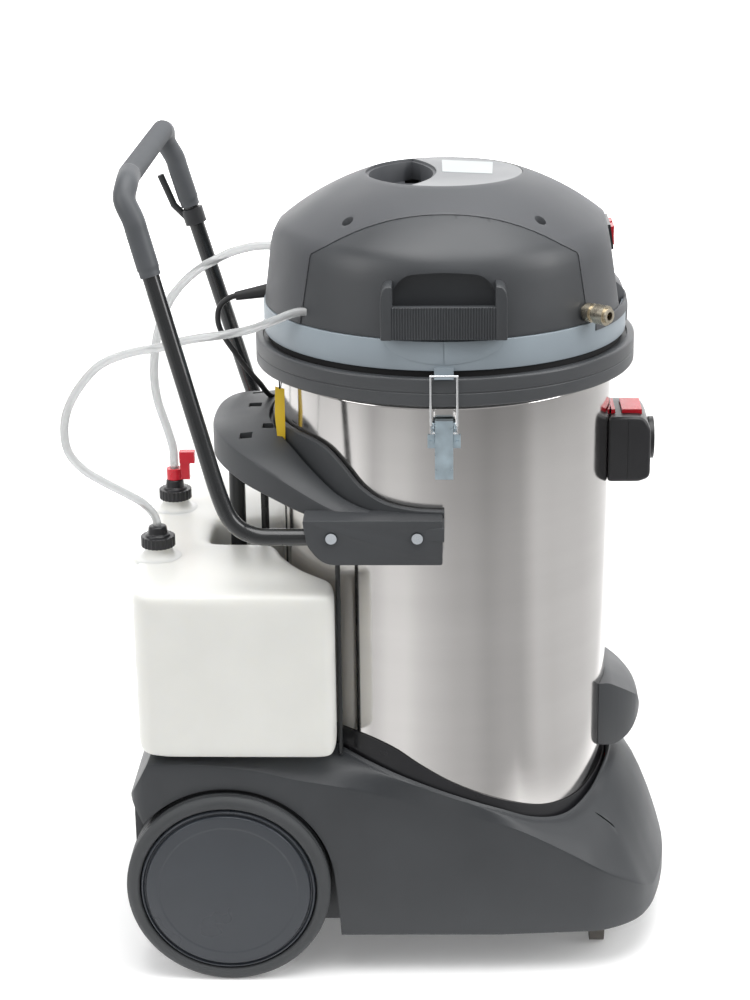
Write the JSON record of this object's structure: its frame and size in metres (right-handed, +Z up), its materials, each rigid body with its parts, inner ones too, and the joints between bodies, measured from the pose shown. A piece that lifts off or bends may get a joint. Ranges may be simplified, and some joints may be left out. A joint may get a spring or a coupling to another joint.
{
  "type": "carpet cleaner machine",
  "caption": "Wheeled wet extraction carpet cleaner with a steel drum, domed motor head, saddle solution tank, hose inlet and tubular push handle.",
  "frame": {"origin": "centre of the footprint between the rear wheels and the nose, on the floor", "axes": "+X to the machine's front, +Y to its left side, +Z up"},
  "size_m": [0.7409, 0.6555, 1.004],
  "materials": {
    "trolley_plastic": "fine moulded texture, dark grey",
    "axle_steel": "turned steel",
    "drum_steel": "polished stainless steel",
    "collar_plastic": "satin moulded plastic",
    "rack_plastic": "fine moulded texture",
    "post_enamel": "black enamel",
    "zinc_screw": "zinc plated",
    "handle_enamel": "satin black enamel",
    "grip_plastic": "ribbed moulded grip",
    "hook_plastic": "moulded plastic",
    "tank_white": "natural white polyethylene",
    "cap_black": "ribbed moulded plastic",
    "tap_red": "moulded red plastic",
    "inlet_plastic": "satin black plastic",
    "button_red": "moulded red plastic",
    "latch_zinc": "bright zinc plated pressing",
    "latch_wire": "plated spring wire",
    "grip_moulding": "satin moulded plastic",
    "rod_black": "black",
    "castor_metal": "zinc plated pressing",
    "castor_tread": "hard rubber tread",
    "tyre_rubber": "solid rubber tyre",
    "hub_plastic": "smooth slate grey disc",
    "band_plastic": "light blue grey satin plastic",
    "seal_rubber": "black foam rubber",
    "head_plastic": "fine moulded texture, grey",
    "panel_plastic": "satin moulded plastic",
    "inlay_plastic": "satin inlay",
    "screw_black": "blackened steel",
    "switch_plastic": "black frame",
    "coupler_brass": "nickel plated brass",
    "cable_rubber": "black flexible jacket",
    "motor_metal": "pressed casing",
    "pump_plastic": "moulded casing",
    "float_plastic": "white moulded plastic",
    "clear_hose": "clear flexible hose"
  },
  "bodies": {
    "chassis": {"base": "trolley_plastic", "wheel_axle": "axle_steel", "drum": "drum_steel", "drum_collar": "collar_plastic", "rack": "rack_plastic", "rack_posts": "post_enamel", "rack_screws": "zinc_screw", "handle_frame": "handle_enamel", "handle_grip": "grip_plastic", "cable_hook": "hook_plastic", "solution_tank": "tank_white", "inlet_box": "inlet_plastic", "inlet_nozzle": "inlet_plastic", "latch_brackets": "latch_zinc", "drum_grip": "grip_moulding", "head_band": "band_plastic", "head_seal": "seal_rubber", "head_cover": "head_plastic", "side_panel_near": "panel_plastic", "side_panel_far": "panel_plastic", "top_panel": "inlay_plastic", "cover_screws": "screw_black", "switch_frame": "switch_plastic", "coupler_body": "coupler_brass", "strain_relief": "cable_rubber", "suction_motor": "motor_metal", "solution_pump": "pump_plastic", "float_cage": "float_plastic", "solution_hose": "clear_hose", "air_hose": "clear_hose", "power_cable": "cable_rubber", "cable_coil": "cable_rubber", "plug": "cable_rubber"},
    "wheel_near": {"tyre_near": "tyre_rubber", "hub_near": "hub_plastic"},
    "wheel_far": {"tyre_far": "tyre_rubber", "hub_far": "hub_plastic"},
    "castor_near": {"castor_fork_near": "castor_metal"},
    "castor_far": {"castor_fork_far": "castor_metal"},
    "castor_roller_near": {"castor_wheel_near": "castor_tread"},
    "castor_roller_far": {"castor_wheel_far": "castor_tread"},
    "lever_near": {"latch_lever_near": "latch_zinc"},
    "lever_far": {"latch_lever_far": "latch_zinc"},
    "bail_near": {"latch_bail_near": "latch_wire"},
    "bail_far": {"latch_bail_far": "latch_wire"},
    "suction_rocker": {"rocker_suction": "button_red"},
    "pump_rocker": {"rocker_pump": "button_red"},
    "front_button": {"inlet_button_front": "button_red"},
    "rear_button": {"inlet_button_rear": "button_red"},
    "sleeve": {"coupler_sleeve": "coupler_brass"},
    "catch": {"catch_rods": "rod_black", "catch_hook": "button_red"},
    "float": {"float_ball": "float_plastic"},
    "fan": {"fan_rotor": "motor_metal"},
    "cap_near": {"tank_cap_near": "cap_black"},
    "cap_far": {"tank_cap_far": "cap_black"},
    "tap": {"air_tap": "tap_red"}
  },
  "joints": [
    {"name": "wheel_near_spin", "type": "hinge", "parent": "chassis", "child": "wheel_near", "pos_m": [-0.212, 0, 0.125], "axis": [0, 1, 0], "continuous": true},
    {"name": "wheel_far_spin", "type": "hinge", "parent": "chassis", "child": "wheel_far", "pos_m": [-0.212, 0, 0.125], "axis": [0, 1, 0], "continuous": true},
    {"name": "castor_near_swivel", "type": "hinge", "parent": "chassis", "child": "castor_near", "pos_m": [0.245, -0.136, 0.056], "axis": [0, 0, 1], "continuous": true},
    {"name": "castor_near_roll", "type": "hinge", "parent": "castor_near", "child": "castor_roller_near", "pos_m": [0.245, -0.118, 0.025], "axis": [1, 0, 0], "continuous": true},
    {"name": "castor_far_swivel", "type": "hinge", "parent": "chassis", "child": "castor_far", "pos_m": [0.245, 0.136, 0.056], "axis": [0, 0, 1], "continuous": true},
    {"name": "castor_far_roll", "type": "hinge", "parent": "castor_far", "child": "castor_roller_far", "pos_m": [0.245, 0.118, 0.025], "axis": [1, 0, 0], "continuous": true},
    {"name": "latch_near", "type": "hinge", "parent": "chassis", "child": "lever_near", "pos_m": [0.053, -0.212, 0.714], "axis": [-1, 0, 0], "range_deg": [0, 120]},
    {"name": "bail_near_tilt", "type": "hinge", "parent": "lever_near", "child": "bail_near", "pos_m": [0.053, -0.215, 0.705], "axis": [-1, 0, 0], "range_deg": [-120, 0]},
    {"name": "latch_far", "type": "hinge", "parent": "chassis", "child": "lever_far", "pos_m": [0.053, 0.212, 0.714], "axis": [1, 0, 0], "range_deg": [0, 120]},
    {"name": "bail_far_tilt", "type": "hinge", "parent": "lever_far", "child": "bail_far", "pos_m": [0.053, 0.215, 0.705], "axis": [1, 0, 0], "range_deg": [-120, 0]},
    {"name": "rocker_suction_tilt", "type": "hinge", "parent": "chassis", "child": "suction_rocker", "pos_m": [0.2491, -0.015, 0.89097], "axis": [0, 1, 0], "range_deg": [-12, 0]},
    {"name": "rocker_pump_tilt", "type": "hinge", "parent": "chassis", "child": "pump_rocker", "pos_m": [0.2491, 0.015, 0.89097], "axis": [0, 1, 0], "range_deg": [-12, 0]},
    {"name": "front_button_press", "type": "slide", "parent": "chassis", "child": "front_button", "axis": [0, 0, -1], "range_m": [0, 0.003], "stiffness_N_per_m": 300},
    {"name": "rear_button_press", "type": "slide", "parent": "chassis", "child": "rear_button", "axis": [0, 0, -1], "range_m": [0, 0.003], "stiffness_N_per_m": 300},
    {"name": "coupler_sleeve_pull", "type": "slide", "parent": "chassis", "child": "sleeve", "axis": [-0.7547, 0.6561, 0], "range_m": [0, 0.004], "stiffness_N_per_m": 300},
    {"name": "drum_catch_lift", "type": "slide", "parent": "chassis", "child": "catch", "axis": [0, 0, 1], "range_m": [0, 0.012]},
    {"name": "float_rise", "type": "slide", "parent": "chassis", "child": "float", "axis": [0, 0, 1], "range_m": [0, 0.03]},
    {"name": "fan_spin", "type": "hinge", "parent": "chassis", "child": "fan", "pos_m": [0.053, 0, 0.82], "axis": [0, 0, 1], "continuous": true},
    {"name": "cap_near_turn", "type": "hinge", "parent": "chassis", "child": "cap_near", "pos_m": [-0.297, -0.09, 0.532], "axis": [0, 0, 1], "range_deg": [0, 270]},
    {"name": "cap_far_turn", "type": "hinge", "parent": "chassis", "child": "cap_far", "pos_m": [-0.297, 0.09, 0.532], "axis": [0, 0, 1], "range_deg": [0, 270]},
    {"name": "air_tap_turn", "type": "hinge", "parent": "cap_far", "child": "tap", "pos_m": [-0.297, 0.09, 0.552], "axis": [0, 0, 1], "range_deg": [0, 90]}
  ],
  "couplings": [
    {"joint": "bail_near_tilt", "follows": "latch_near", "ratio": -1},
    {"joint": "bail_far_tilt", "follows": "latch_far", "ratio": -1}
  ]
}
